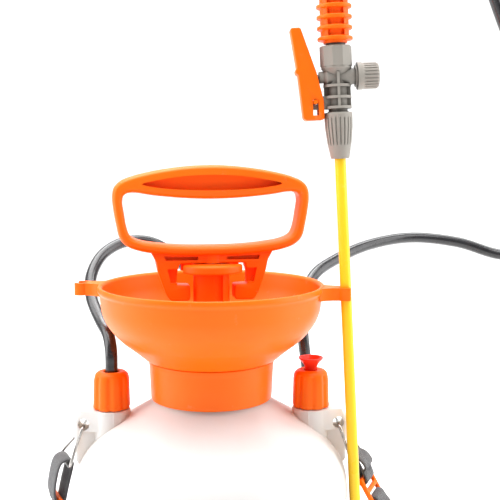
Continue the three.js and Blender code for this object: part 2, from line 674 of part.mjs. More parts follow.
function slider(end) {
  const top = SLIDER_TOP[end];
  const half = WEB_WIDTH / 2;
  const frame = box([SLIDER_X - 1.5, SLIDER_X + 1.5], [-half - 3.5, half + 3.5], [top - SLIDER_HIGH, top]);
  const slots = [top - 8.5, top - 17].map((z) => box([90, 130], [-half - 0.5, half + 0.5], [z, z + 5.5]));
  return cut(frame, ...slots)
    .translate(-SLIDER_X, 0, -top)
    .rotateY(-SLIDER_TILT[end])
    .translate(SLIDER_X, 0, top);
}

// Moves a piece made for the +X side's strap end to its place on either side.
function strapPlaced(geometry, side) {
  return geometry
    .rotateZ(side < 0 ? Math.PI : 0)
    .translate(-side * LINK_BAR[0], 0, 0)
    .rotateZ(-side * STRAP_TURN)
    .translate(side * LINK_BAR[0], STRAP_SET_BACK, 0);
}

function strapEnd(side, end) {
  return [
    named("strap_link_" + end, wireLink(side), COLOURS.steel, 0.25, 0.95),
    named("strap_loop_" + end, strapPlaced(webLoop(end), side), COLOURS.webbing, 0.9),
    named("slider_" + end, strapPlaced(slider(end), side), COLOURS.orange),
  ];
}

// The strap's turn round a slider's lowest bar, from its tail to the hanging part.
function hairpin(side, end) {
  const bar = SLIDER_TOP[end] - SLIDER_HIGH + 1.5;
  return [[-2.9, -12], [-3.1, -1], [-2.6, 2.5], [0, 3.9], [2.6, 2.5], [3.1, -1], [4.3, -14]].map(([dx, dz]) => {
    const [x, z] = tilted([SLIDER_X + dx, bar + dz], end);
    const [px, py, pz] = strapPoint(side, [x, 0, z]);
    return [px, py + STRAP_SET_BACK, pz];
  });
}

const HAIRPIN_SPANS = 6;

function strapRoute() {
  const left = [[-113.6, 0, 136], [-115.4, 12, 100]];
  const right = [[116.5, 13, 100], [120.5, 1, 132], [125, -5.5, 160]];
  const under = [[112, 37, 62], [100.5, 67, 38], [77, 94, 25], [44, 114, 18]];
  return [
    ...hairpin(-1, "left"), ...left, ...under.map(([x, y, z]) => [-x, y, z]), [0, 122, 16],
    ...under.reverse(), ...right, ...hairpin(1, "right").reverse(),
  ];
}

function sliderWay(side) {
  return new THREE.Vector3(side * Math.sin(STRAP_TURN), Math.cos(STRAP_TURN), 0);
}

function strapWeb() {
  const route = strapRoute().map((p) => new THREE.Vector3(...p));
  const path = new THREE.CatmullRomCurve3(route, false, "centripetal");
  const steps = 2 * (route.length - 1);
  const corners = [];
  for (let i = 0; i <= steps; i++) {
    const p = path.getPoint(i / steps);
    const along = path.getTangent(i / steps);
    const outward = new THREE.Vector3(p.x, p.y, 0).normalize();
    const turning = Math.min(i, steps - i) <= 2 * HAIRPIN_SPANS;
    const across = turning ? sliderWay(Math.sign(p.x)) : along.clone().cross(outward).normalize();
    const normal = along.clone().cross(across).normalize();
    for (const [w, n] of [[-1, -1], [1, -1], [1, 1], [-1, 1]]) {
      const edge = p.clone().addScaledVector(across, (w * WEB_WIDTH) / 2);
      corners.push(edge.addScaledVector(normal, (n * WEB_THICK) / 2));
    }
  }
  const faces = [0, 2, 1, 0, 3, 2];
  for (let i = 0; i < steps; i++) {
    for (let k = 0; k < 4; k++) {
      const a = 4 * i + k;
      const b = 4 * i + ((k + 1) % 4);
      faces.push(a, b, b + 4, a, b + 4, a + 4);
    }
  }
  const end = 4 * steps;
  faces.push(end, end + 1, end + 2, end, end + 2, end + 3);
  const geometry = new THREE.BufferGeometry().setFromPoints(corners);
  geometry.setIndex(faces);
  return named("strap_web", geometry, COLOURS.webbing, 0.9);
}

const sprayer = groupOf(
  tankShell(),
  baseFoot(),
  pumpGroup(),
  outletPort(),
  reliefPort(),
  wand(),
  named("hose", wire(HOSE_ROUTE, HOSE_R, { sides: 8, steps: 76 }), COLOURS.hose, 0.35),
  ...strapEnd(-1, "left"),
  ...strapEnd(1, "right"),
  strapWeb(),
);
sprayer.name = "pump_sprayer";

export default sprayer;
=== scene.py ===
"""A 5 litre shoulder pressure sprayer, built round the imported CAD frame.

Shapes are in millimetres until piece() scales them to metres.
"""

import json
import math

import bmesh
import bpy
from mathutils import Euler, Matrix, Vector
from mathutils.geometry import tessellate_polygon


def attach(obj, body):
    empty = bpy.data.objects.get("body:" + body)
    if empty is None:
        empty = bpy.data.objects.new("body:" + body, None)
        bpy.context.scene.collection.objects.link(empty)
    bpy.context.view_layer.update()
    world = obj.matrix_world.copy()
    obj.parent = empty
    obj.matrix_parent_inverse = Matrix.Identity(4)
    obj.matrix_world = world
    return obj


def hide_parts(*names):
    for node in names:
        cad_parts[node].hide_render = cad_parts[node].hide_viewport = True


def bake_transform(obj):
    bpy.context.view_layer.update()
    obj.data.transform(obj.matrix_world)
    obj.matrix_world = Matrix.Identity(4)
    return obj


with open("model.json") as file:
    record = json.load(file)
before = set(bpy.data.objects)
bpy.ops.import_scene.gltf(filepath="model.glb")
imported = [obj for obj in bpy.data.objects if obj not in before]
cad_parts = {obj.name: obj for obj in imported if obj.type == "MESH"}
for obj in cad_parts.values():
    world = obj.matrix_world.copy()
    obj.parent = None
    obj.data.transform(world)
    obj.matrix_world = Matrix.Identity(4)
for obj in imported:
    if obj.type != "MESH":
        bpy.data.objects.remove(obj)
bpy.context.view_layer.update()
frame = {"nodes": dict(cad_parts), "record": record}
MM = 0.001
PI = math.pi
Z_AXIS = Vector((0, 0, 1))

# Dimensions shared with the CAD part, in millimetres
TANK_R = 94
CUP_TOP = 30
LUG_TOP = 254
PORT_X = 69
STUB_TOP = 262
RIM_Z = 340
EAR_R = 92.3
COLLAR_TURN = math.radians(-9.55)
HANDLE_PLACE = Matrix.Rotation(math.radians(8), 4, "Z")
HANDLE_DEPTH = 20
HOOK_HALF = 7
COLLAR_TOP = 288.7
SPIGOT_R = 41.5
FLANGE_TOP = 295.2
DISC_LOW = 348.5
DISC_TOP = 354.5
GUIDE_END = 235
LANCE_FOOT = Vector((105.4, -21, 20))
LANCE_AIM = Vector((-27.9, 11, 620)).normalized()
GUN_START = 407
PLUNGER_G = 55
PIVOT = (-15.5, 38.5)
HOSE_R = 4.4
WEB_WIDTH = 20
WEB_THICK = 1.6
LINK_BAR = (101, 217.3)
SLIDER_X = 107
SLIDER_HIGH = 20
SLIDER_TOP = {-1: 194, 1: 206}
SLIDER_TILT = {-1: 0, 1: math.radians(30)}
STRAP_TURN = math.radians(22)
STRAP_SET_BACK = 1.2
SIDES = {-1: "left", 1: "right"}

LANCE_TURN = Z_AXIS.rotation_difference(LANCE_AIM)
LANCE_PLACE = Matrix.Translation(LANCE_FOOT) @ LANCE_TURN.to_matrix().to_4x4()
GUN_PLACE = LANCE_PLACE @ Matrix.Translation((0, 0, GUN_START))


# Camera


def make_camera():
    data = bpy.data.cameras.new("camera")
    data.sensor_width = 36
    data.lens = 67.01
    data.shift_y = -0.12
    data.clip_start = 0.01
    camera = bpy.data.objects.new("camera", data)
    camera.location = (0.0049, -0.6399, 0.4323)
    camera.rotation_euler = Euler((math.radians(90 - 2.46), 0, math.radians(-1.95)))
    bpy.context.scene.collection.objects.link(camera)
    bpy.context.scene.camera = camera


# Curves


def spline(points, per_span, closed=False):
    """Centripetal Catmull-Rom through the points."""
    pts = [Vector(p) for p in points]
    if closed:
        line = [pts[-1], *pts, pts[0], pts[1]]
    else:
        line = [2 * pts[0] - pts[1], *pts, 2 * pts[-1] - pts[-2]]
    made = []
    for p0, p1, p2, p3 in zip(line, line[1:], line[2:], line[3:]):
        d1, d2, d3 = (max((b - a).length, 1e-6) ** 0.5 for a, b in ((p0, p1), (p1, p2), (p2, p3)))
        m1 = (p1 - p0) / d1 - (p2 - p0) / (d1 + d2) + (p2 - p1) / d2
        m2 = (p2 - p1) / d2 - (p3 - p1) / (d2 + d3) + (p3 - p2) / d3
        m1, m2 = m1 * d2, m2 * d2
        for i in range(per_span):
            t = i / per_span
            a, b = 2 * t**3 - 3 * t**2 + 1, t**3 - 2 * t**2 + t
            made.append(a * p1 + b * m1 + (1 - a) * p2 + (t**3 - t**2) * m2)
    return made if closed else [*made, pts[-1]]


def tangents(points, closed=False):
    n = len(points)
    found = []
    for i in range(n):
        before = points[i - 1] if closed or i else points[0]
        after = points[(i + 1) % n] if closed or i < n - 1 else points[-1]
        found.append((after - before).normalized())
    return found


# Meshes


def linked(name, verts, faces):
    mesh = bpy.data.meshes.new(name)
    mesh.from_pydata([tuple(v) for v in verts], [], faces)
    mesh.validate()
    obj = bpy.data.objects.new(name, mesh)
    bpy.context.scene.collection.objects.link(obj)
    return obj


def turned(profile, segments=96, radial=None):
    """A solid turned about Z. The profile runs up the outside and down the inside."""
    verts, rings = [], []
    for r, z in profile:
        if r == 0:
            rings.append([len(verts)] * segments)
            verts.append((0, 0, z))
            continue
        rings.append(list(range(len(verts), len(verts) + segments)))
        for i in range(segments):
            a = 2 * PI * i / segments
            radius = radial(a, r, z) if radial else r
            verts.append((radius * math.cos(a), radius * math.sin(a), z))
    on_axis = profile[0][0] == 0 and profile[-1][0] == 0
    uppers = rings[1:] if on_axis else rings[1:] + rings[:1]
    faces = []
    for lower, upper in zip(rings, uppers):
        for i in range(segments):
            j = (i + 1) % segments
            corners = list(dict.fromkeys((lower[i], lower[j], upper[j], upper[i])))
            if len(corners) > 2:
                faces.append(corners)
    return linked("turned", verts, faces)


def rod(radius, low, high, segments=48):
    return turned([(0, low), (radius, low), (radius, high), (0, high)], segments)


def pipe(outer, inner, low, high, segments=48):
    return turned([(outer, low), (outer, high), (inner, high), (inner, low)], segments)


def eased(profile, radius=0.6, steps=3, closed=True):
    """The profile with its corners rounded, by no more than a share of each edge."""
    n = len(profile)
    made = []
    for i, (r, z) in enumerate(profile):
        here = Vector((r, z))
        if not closed and i in (0, n - 1):
            made.append((r, z))
            continue
        back = Vector(profile[i - 1]) - here
        on = Vector(profile[(i + 1) % n]) - here
        reach = min(radius, 0.46 * back.length, 0.46 * on.length)
        a, b = here + back.normalized() * reach, here + on.normalized() * reach
        for k in range(steps + 1):
            t = k / steps
            p = a * (1 - t) ** 2 + here * (2 * t * (1 - t)) + b * t * t
            made.append((p.x, p.y))
    return made


def box(xs, ys, zs):
    verts = [(x, y, z) for x in xs for y in ys for z in zs]
    faces = [(0, 1, 3, 2), (4, 6, 7, 5), (0, 4, 5, 1), (2, 3, 7, 6), (0, 2, 6, 4), (1, 5, 7, 3)]
    return linked("box", verts, faces)


def leftward(outline, hole=False):
    """The outline as vectors, turned so that the material lies on its left."""
    area = sum(a[0] * b[1] - b[0] * a[1] for a, b in zip(outline, [*outline[1:], outline[0]]))
    loop = [Vector(p) for p in outline]
    return loop if (area > 0) != hole else loop[::-1]


def inset(loop, depth):
    """The loop moved into the material on its left, with mitred corners."""
    made = []
    for i, here in enumerate(loop):
        back = (here - loop[i - 1]).normalized()
        on = (loop[(i + 1) % len(loop)] - here).normalized()
        a, b = Vector((-back.y, back.x)), Vector((-on.y, on.x))
        made.append(here + (a + b) * (depth / max(0.3, 1 + a.dot(b))))
    return made


def extruded(outlines, half, round=0, edge=0, resolution=3):
    """Outlines in X and Y, the later ones as holes, thickened by half each way along Z.

    A rounding takes round off the height and edge off the outline.
    """
    loops = [leftward(outline, i > 0) for i, outline in enumerate(outlines)]
    angles = [PI / 2 * k / resolution for k in range(resolution + 1)] if round else [0]
    upper = [(half - round + round * math.sin(a), edge * (1 - math.cos(a))) for a in angles]
    layers = [(-z, d) for z, d in reversed(upper)] + upper
    verts = []
    for z, depth in layers:
        for loop in loops:
            verts += [(p.x, p.y, z) for p in inset(loop, depth)]
    total = sum(len(loop) for loop in loops)
    faces = []
    for layer in range(len(layers) - 1):
        start = layer * total
        for loop in loops:
            n = len(loop)
            for i in range(n):
                a, b = start + i, start + (i + 1) % n
                faces.append((a, b, b + total, a + total))
            start += n
    caps = tessellate_polygon([[Vector((*verts[i][:2], 0)) for i in spans] for spans in numbered(loops)])
    top = (len(layers) - 1) * total
    for tri in caps:
        faces += [tuple(reversed(tri)), tuple(i + top for i in tri)]
    obj = linked("extruded", verts, faces)
    weld(obj, 1e-5)
    return obj


def numbered(loops):
    """Each loop's vertex numbers when the loops are laid end to end."""
    start, made = 0, []
    for loop in loops:
        made.append(range(start, start + len(loop)))
        start += len(loop)
    return made


def weld(obj, distance):
    bm = bmesh.new()
    bm.from_mesh(obj.data)
    bmesh.ops.remove_doubles(bm, verts=bm.verts, dist=distance)
    bmesh.ops.recalc_face_normals(bm, faces=bm.faces)
    bm.to_mesh(obj.data)
    bm.free()


def placed(obj, matrix):
    obj.data.transform(matrix)
    if matrix.determinant() < 0:
        obj.data.flip_normals()
    return obj


def shifted(obj, x=0, y=0, z=0):
    return placed(obj, Matrix.Translation((x, y, z)))


def spun(obj, angle, axis="Z"):
    return placed(obj, Matrix.Rotation(angle, 4, axis))


def along_x(obj):
    return spun(obj, PI / 2, "Y")


def along_y(obj):
    return spun(obj, -PI / 2, "X")


def slab(outline, depth, holes=(), round=0, edge=None, resolution=3):
    """An outline in X and Z with a depth along Y about Y = 0.

    round is the edge's rounding along Y, edge its rounding in the outline.
    """
    edge = round if edge is None else edge
    return spun(extruded([outline, *holes], depth / 2, round, edge, resolution), PI / 2, "X")


def plate(outline, low, high):
    return shifted(extruded([outline], (high - low) / 2), z=(low + high) / 2)


def applied(obj):
    bpy.context.view_layer.update()
    graph = bpy.context.evaluated_depsgraph_get()
    mesh = bpy.data.meshes.new_from_object(obj.evaluated_get(graph))
    obj.modifiers.clear()
    obj.data = mesh
    return obj


def combined(obj, tools, operation):
    for tool in tools:
        modifier = obj.modifiers.new("bool", "BOOLEAN")
        modifier.operation = operation
        modifier.solver = "MANIFOLD"
        modifier.object = tool
    applied(obj)
    for tool in tools:
        bpy.data.objects.remove(tool)
    return obj


def join(obj, *others):
    return combined(obj, others, "UNION")


def cut(obj, *tools):
    return combined(obj, tools, "DIFFERENCE")


def mirrored(half):
    return [*half, *[(-x, z) for x, z in half[-2:0:-1]]]


def smoothed(outline, per_span=4):
    return [(p.x, p.y) for p in spline([(x, y, 0) for x, y in outline], per_span, closed=True)]


def around(count, make):
    return [make(2 * PI * i / count) for i in range(count)]


def swept(points, section, closed=False, across=None):
    """A section of (side, out) pairs carried along the points. across gives each point's side direction."""
    ways = tangents(points, closed)
    if across is None:
        side = ways[0].orthogonal().normalized()
        across = []
        for way in ways:
            side = (side - way * side.dot(way)).normalized()
            across.append(side)
    verts = []
    for point, way, side in zip(points, ways, across):
        out = way.cross(side).normalized()
        verts += [point + side * a + out * b for a, b in section]
    n, k = len(points), len(section)
    faces = []
    for i in range(n if closed else n - 1):
        low, high = i * k, ((i + 1) % n) * k
        for j in range(k):
            m = (j + 1) % k
            faces.append((low + j, low + m, high + m, high + j))
    if not closed:
        faces += [tuple(reversed(range(k))), tuple(range((n - 1) * k, n * k))]
    return linked("swept", verts, faces)


def circle(radius, sides):
    return around(sides, lambda a: (radius * math.cos(a), radius * math.sin(a)))


def mapped(obj, ring, length_of, width_of):
    """UVs in millimetres along and across a swept strip whose rings hold that many vertices."""
    layer = obj.data.uv_layers.new(name="strip")
    for loop in obj.data.loops:
        i, j = divmod(loop.vertex_index, ring)
        layer.data[loop.index].uv = (length_of[i], width_of[j])
    return obj


# Materials


class Nodes:
    """A material's node tree, with short calls for the nodes these materials use."""

    def __init__(self, name):
        self.material = bpy.data.materials.new(name)
        self.material.use_nodes = True
        self.tree = self.material.node_tree
        self.shader = self.tree.nodes["Principled BSDF"]
        self.place = self.tree.nodes.new("ShaderNodeTexCoord").outputs["Object"]

    def link(self, source, target):
        self.tree.links.new(source, target)

    def put(self, target, value):
        if isinstance(value, bpy.types.NodeSocket):
            self.link(value, target)
        else:
            target.default_value = value

    def noise(self, scale, detail=3, rough=0.5, vector=None, stretch=None):
        node = self.tree.nodes.new("ShaderNodeTexNoise")
        node.inputs["Scale"].default_value = scale
        node.inputs["Detail"].default_value = detail
        node.inputs["Roughness"].default_value = rough
        source = vector or self.place
        if stretch:
            mapping = self.tree.nodes.new("ShaderNodeMapping")
            mapping.inputs["Scale"].default_value = stretch
            self.link(source, mapping.inputs["Vector"])
            source = mapping.outputs["Vector"]
        self.link(source, node.inputs["Vector"])
        return node.outputs["Fac"]

    def math(self, operation, a, b=0.0, c=0.0):
        node = self.tree.nodes.new("ShaderNodeMath")
        node.operation = operation
        for target, value in zip(node.inputs, (a, b, c)):
            self.put(target, value)
        return node.outputs[0]

    def ranged(self, value, low, high, to_low, to_high):
        node = self.tree.nodes.new("ShaderNodeMapRange")
        for target, source in zip(node.inputs[:5], (value, low, high, to_low, to_high)):
            self.put(target, source)
        return node.outputs[0]

    def mix(self, factor, a, b, kind="MIX"):
        node = self.tree.nodes.new("ShaderNodeMix")
        node.data_type = "RGBA"
        node.blend_type = kind
        self.put(node.inputs["Factor"], factor)
        self.put(node.inputs[6], a if isinstance(a, bpy.types.NodeSocket) else (*a, 1))
        self.put(node.inputs[7], b if isinstance(b, bpy.types.NodeSocket) else (*b, 1))
        return node.outputs[2]

    def hollows(self, distance):
        """1 in tight corners and recesses, 0 on open faces: the mask for painting shade into a colour."""
        node = self.tree.nodes.new("ShaderNodeAmbientOcclusion")
        node.samples = 6
        node.inputs["Distance"].default_value = distance
        return self.math("SUBTRACT", 1.0, node.outputs["AO"])

    def bump(self, height, strength, distance):
        node = self.tree.nodes.new("ShaderNodeBump")
        node.inputs["Strength"].default_value = strength
        node.inputs["Distance"].default_value = distance
        self.link(height, node.inputs["Height"])
        self.link(node.outputs["Normal"], self.shader.inputs["Normal"])

    def surface(self, colour, roughness, **constants):
        self.put(self.shader.inputs["Base Color"], colour)
        self.put(self.shader.inputs["Roughness"], roughness)
        for key, value in constants.items():
            self.shader.inputs[key.replace("_", " ")].default_value = value
        return self.material


def srgb(red, green, blue):
    """Linear colour from 0-255 display values."""
    shares = (red / 255, green / 255, blue / 255)
    return tuple(c / 12.92 if c <= 0.04045 else ((c + 0.055) / 1.055) ** 2.4 for c in shares)


def moulded(name, colour, recess_shade, rough, grain=0.06, coat=0.0):
    """Moulded plastic: flow clouding, a fine eroded grain, painted shade (a darker colour) in recesses,
    rubbed patches.
    """
    n = Nodes(name)
    cloud = n.ranged(n.noise(14, 4), 0.3, 0.7, 0.0, 1.0)
    pale = tuple(min(1, c * 1.06 + 0.004) for c in colour)
    dim = tuple(c * 0.93 for c in colour)
    base = n.mix(cloud, dim, pale)
    # Painted shade: the colour darkens toward the second colour given where ambient occlusion finds corners
    # and recesses.
    shaded = n.mix(n.ranged(n.hollows(0.016), 0.12, 0.85, 0.0, 0.9), base, recess_shade)
    scuff = n.ranged(n.noise(90, 6, 0.7), 0.62, 0.72, 0.0, 1.0)
    colour_out = n.mix(n.math("MULTIPLY", scuff, 0.05), shaded, (1, 0.93, 0.85))
    uneven = n.ranged(n.noise(45, 4), 0.3, 0.7, rough - 0.05, rough + 0.06)
    roughness = n.math("ADD", uneven, n.math("MULTIPLY", scuff, 0.10))
    fine = n.noise(2600, 2)
    swell = n.noise(110, 2)
    n.bump(n.math("MULTIPLY_ADD", swell, 2.0, fine), grain, 0.0002)
    gloss = {"Coat_Weight": coat, "Coat_Roughness": 0.2, "Specular_IOR_Level": 0.2}
    return n.surface(colour_out, roughness, **gloss)


def milky():
    """Blow-moulded polyethylene: light scatters inside it, with faint vertical draw lines, clouding and a
    painted warm shade in its recesses.
    """
    n = Nodes("tank_milky")
    cloud = n.ranged(n.noise(9, 4), 0.3, 0.7, 0.0, 1.0)
    draw = n.noise(160, 3, stretch=(1, 1, 0.04))
    base = n.mix(cloud, srgb(211, 210, 208), srgb(220, 219, 217))
    # Painted shade: a warm pinkish colour laid where ambient occlusion finds recesses, standing in for shade
    # and orange bounce light.
    shade_tinted = n.mix(n.ranged(n.hollows(0.03), 0.1, 0.9, 0.0, 0.75), base, srgb(222, 205, 192))
    rough = n.ranged(n.noise(40, 4), 0.3, 0.7, 0.36, 0.48)
    n.bump(n.math("MULTIPLY_ADD", draw, 1.2, n.noise(900, 2)), 0.10, 0.0002)
    made = n.surface(shade_tinted, rough, Subsurface_Weight=0.35, Subsurface_Scale=0.012)
    n.shader.inputs["Subsurface Radius"].default_value = (1.0, 0.9, 0.8)
    return made


def tubing():
    """Extruded hose: glossy, with faint lengthwise drag lines, dust and a slightly paler bloom."""
    n = Nodes("hose_black")
    dust = n.ranged(n.noise(60, 5, 0.65), 0.45, 0.8, 0.0, 0.6)
    base = n.mix(dust, srgb(27, 27, 30), srgb(50, 49, 52))
    rough = n.ranged(n.noise(220, 4), 0.3, 0.7, 0.18, 0.3)
    n.bump(n.noise(1500, 3), 0.05, 0.0002)
    return n.surface(base, rough, Coat_Weight=0.3, Coat_Roughness=0.15)


def woven():
    """Polypropylene webbing: rows of twill ribs along its length, crossed by the weft."""
    n = Nodes("webbing_woven")
    uv = n.tree.nodes.new("ShaderNodeUVMap")
    uv.uv_map = "strip"
    split = n.tree.nodes.new("ShaderNodeSeparateXYZ")
    n.link(uv.outputs["UV"], split.inputs[0])
    along, across = split.outputs["X"], split.outputs["Y"]
    side = n.math("ABSOLUTE", across)
    slant = n.math("MULTIPLY_ADD", side, 1.4, along)
    weft = n.math("ABSOLUTE", n.math("SINE", n.math("MULTIPLY", slant, 2.6)))
    warp = n.math("ABSOLUTE", n.math("SINE", n.math("MULTIPLY", across, 3.4)))
    height = n.math("MULTIPLY", n.math("POWER", weft, 0.6), n.math("POWER", warp, 0.5))
    fuzz = n.noise(900, 4, 0.7)
    dark, light = srgb(38, 37, 39), srgb(86, 84, 86)
    base = n.mix(n.math("MULTIPLY", height, n.ranged(fuzz, 0.3, 0.7, 0.55, 1.0)), dark, light)
    n.bump(n.math("MULTIPLY_ADD", fuzz, 0.35, height), 0.8, 0.0005)
    return n.surface(base, n.ranged(fuzz, 0.3, 0.7, 0.7, 0.95), Sheen_Weight=0.35, Sheen_Roughness=0.5)


def plated(name, colour, rough):
    """Nickel-plated or drawn wire: fine drawing lines, tarnish spots."""
    n = Nodes(name)
    spots = n.ranged(n.noise(240, 5, 0.7), 0.52, 0.72, 0.0, 1.0)
    base = n.mix(spots, colour, tuple(c * 0.62 for c in colour))
    n.bump(n.noise(1400, 4), 0.12, 0.0001)
    return n.surface(base, n.ranged(spots, 0, 1, rough, rough + 0.22), Metallic=1.0)


def rubbery(name, colour):
    n = Nodes(name)
    bloom = n.ranged(n.noise(120, 5, 0.6), 0.35, 0.7, 0.0, 1.0)
    base = n.mix(bloom, colour, tuple(c * 1.9 + 0.01 for c in colour))
    n.bump(n.noise(1800, 3), 0.2, 0.0002)
    return n.surface(base, n.ranged(bloom, 0, 1, 0.6, 0.8))


LOOKS = {
    # The second colour of each moulded look is the painted shade laid into its recesses.
    "orange_plastic": moulded("orange_moulded", srgb(254, 106, 0), srgb(254, 98, 0), 0.4),
    "red_plastic": moulded("red_moulded", srgb(240, 52, 26), srgb(190, 22, 14), 0.33, coat=0.15),
    "grey_plastic": moulded("grey_moulded", srgb(150, 145, 137), srgb(74, 70, 64), 0.46, grain=0.14),
    "yellow_tube": moulded(
        "yellow_extruded", srgb(242, 200, 30), srgb(190, 136, 20), 0.3, grain=0.03, coat=0.25
    ),
    "tank_plastic": milky(),
    "hose_rubber": tubing(),
    "webbing": woven(),
    "wire_steel": plated("wire_plated", (0.5, 0.48, 0.46), 0.24),
    "rod_steel": plated("rod_drawn", (0.62, 0.62, 0.63), 0.28),
    "seal_rubber": rubbery("seal_moulded", (0.018, 0.018, 0.02)),
}


def dress_frame():
    """Every CAD node takes its slot's look and is shaded smooth by angle."""
    slots = {s["node"]: s["material_slot"] for s in frame["record"]["subparts"]}
    for name, node in frame["nodes"].items():
        node.data.materials.clear()
        node.data.materials.append(LOOKS[slots[name]])
        shade(node, 32)


def shade(obj, degrees):
    obj.data.polygons.foreach_set("use_smooth", [True] * len(obj.data.polygons))
    obj.data.set_sharp_from_angle(angle=math.radians(degrees))


def piece(obj, node, body, bevel=0.0, smooth=34, place=None):
    """Scales a finished shape to metres, gives it its look and body, and lets it stand for its CAD node."""
    slots = {s["node"]: s["material_slot"] for s in frame["record"]["subparts"]}
    if bevel:
        modifier = obj.modifiers.new("edges", "BEVEL")
        modifier.width = bevel
        modifier.segments = 2
        modifier.limit_method = "ANGLE"
        modifier.angle_limit = math.radians(38)
        applied(obj)
    if place:
        placed(obj, place)
    placed(obj, Matrix.Diagonal((MM, MM, MM, 1)))
    obj.name = node + "_fine"
    obj.data.materials.clear()
    obj.data.materials.append(LOOKS[slots[node]])
    shade(obj, smooth)
    if body:
        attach(obj, body)
    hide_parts(node)
    return obj


# Hose

HOSE_ROUTE = [
    (-69, 0, 273), (-69, 0, 284), (-69.3, 0.8, 293), (-72, 9, 302.5), (-79.7, 25, 311),
    (-88.5, 45, 324), (-91, 65, 338), (-84, 86, 352), (-68, 101, 359.5), (-47, 112, 357),
    (-24, 121, 338), (-8, 126, 300), (0, 127, 250), (12, 126, 200), (32, 122, 170),
    (56, 113, 172), (73, 98, 200), (77, 78, 238), (72, 63, 268), (69, 62, 296),
    (71, 72, 318), (81, 90, 334), (100, 107, 344), (130, 128, 353.5), (170, 148, 357.5),
    (212, 156, 352.5), (252, 151, 342), (284, 137, 353), (291, 115, 378), (281, 93, 410),
    (262, 77, 445), (240, 67, 485), (219, 60, 530), (198, 52, 580), (176, 42, 625),
    (153, 29, 660), (126, 13, 680), (100, 0, 679), (82.8, -7.4, 662), (77.5, -10, 644),
    (77.6, -10, 637), (78, -10.2, 628.9),
]  # fmt: skip


def make_hose():
    line = spline(HOSE_ROUTE, 10)
    hose = piece(swept(line, circle(HOSE_R, 20)), "hose", None, smooth=60)
    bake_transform(hose)


# Strap


def tilted(side, x, z):
    """The point in X and Z once the slider's tilt has swung it about the slider's top."""
    arm = Matrix.Rotation(SLIDER_TILT[side], 2) @ Vector((x - SLIDER_X, z - SLIDER_TOP[side]))
    return SLIDER_X + arm.x, SLIDER_TOP[side] + arm.y


def strap_point(side, x, y, z, share=1):
    """A point of the +X side's strap end, set on either side and turned about the link's lower bar."""
    arm = Matrix.Rotation(-STRAP_TURN * share, 2) @ Vector((x - LINK_BAR[0], y))
    return side * (LINK_BAR[0] + arm.x), arm.y, z


def strap_place(side):
    """Moves a piece made for the +X side's strap end to its place on either side."""
    turn = Matrix.Rotation(PI if side < 0 else 0, 4, "Z")
    swing = Matrix.Rotation(-side * STRAP_TURN, 4, "Z")
    from_bar = Matrix.Translation((-side * LINK_BAR[0], 0, 0))
    to_bar = Matrix.Translation((side * LINK_BAR[0], STRAP_SET_BACK, 0))
    return to_bar @ swing @ from_bar @ turn


def hairpin(side):
    bar = SLIDER_TOP[side] - SLIDER_HIGH + 1.5
    made = []
    for dx, dz in ((-2.9, -12), (-3.1, -1), (-2.6, 2.5), (0, 3.9), (2.6, 2.5), (3.1, -1), (4.3, -14)):
        x, z = tilted(side, SLIDER_X + dx, bar + dz)
        px, py, pz = strap_point(side, x, 0, z)
        made.append((px, py + STRAP_SET_BACK, pz))
    return made


HAIRPIN_SPANS = 6


def strap_route():
    left = [(-113.6, 0, 136), (-115.4, 12, 100)]
    right = [(116.5, 13, 100), (120.5, 1, 132), (125, -5.5, 160)]
    under = [(112, 37, 62), (100.5, 67, 38), (77, 94, 25), (44, 114, 18)]
    back = [(-x, y, z) for x, y, z in under]
    return [*hairpin(-1), *left, *back, (0, 122, 16), *reversed(under), *right, *reversed(hairpin(1))]


def web_section():
    """A webbing's cross-section: flat faces, rounded selvedges."""
    w, t = WEB_WIDTH / 2, WEB_THICK / 2
    row = [-w + 0.5, -w * 0.6, -w * 0.2, w * 0.2, w * 0.6, w - 0.5]
    lower = [(-w, -t * 0.4), *[(x, -t) for x in row], (w, -t * 0.4)]
    return [*lower, *[(-x, -y) for x, y in lower]]


def webbing(points, across, closed=False):
    section = web_section()
    obj = swept(points, section, closed=closed, across=across)
    lengths = [0.0]
    for a, b in zip(points, points[1:]):
        lengths.append(lengths[-1] + (b - a).length)
    return mapped(obj, len(section), lengths, [a for a, _ in section])


def make_strap():
    per_span = 8
    line = spline(strap_route(), per_span)
    across = []
    for i, (point, way) in enumerate(zip(line, tangents(line))):
        if min(i, len(line) - 1 - i) <= HAIRPIN_SPANS * per_span:
            side = math.copysign(1, point.x)
            across.append(Vector((side * math.sin(STRAP_TURN), math.cos(STRAP_TURN), 0)))
        else:
            across.append(way.cross(Vector((point.x, point.y, 0)).normalized()).normalized())
    strap = piece(webbing(line, eased_ways(across, 4)), "strap_web", "tank", smooth=50)
    on_it = []
    for side in SIDES:
        on_it += [make_web_loop(side), make_slider(side), make_link(side)]


def eased_ways(ways, reach):
    """Each direction averaged with its neighbours."""
    made = []
    for i in range(len(ways)):
        total = sum(ways[max(0, i - reach) : i + reach + 1], Vector((0, 0, 0)))
        made.append(total.normalized())
    return made


def make_web_loop(side):
    top = SLIDER_TOP[side]
    x, z = LINK_BAR
    lower = [(-2.3, -1), (-1.7, -3.5), (1.7, -3.5), (2.4, -1), (3.3, 4)]
    upper = [
        (x + 8.3, (top + z + 3) / 2), (x + 4.9, z + 0.5), (x + 0.7, z + 2.1), (x - 1.7, z + 0.7),
        (x - 1.5, z - 1.9), (x + 1.5, (top + z - 5) / 2),
    ]  # fmt: skip
    outline = [*[tilted(side, SLIDER_X + dx, top + dz) for dx, dz in lower], *upper]
    inner = spline([(px, 0, pz) for px, pz in outline], 6, closed=True)
    ways = tangents(inner, closed=True)
    middle = [p + Vector((0, 1, 0)).cross(way) * WEB_THICK * 0.5 for p, way in zip(inner, ways)]
    band = webbing(middle, [Vector((0, 1, 0))] * len(middle), closed=True)
    return piece(placed(band, strap_place(side)), "strap_loop_" + SIDES[side], "tank", smooth=50)


def oblong(half, low, high):
    return [(-half, low), (half, low), (half, high), (-half, high)]


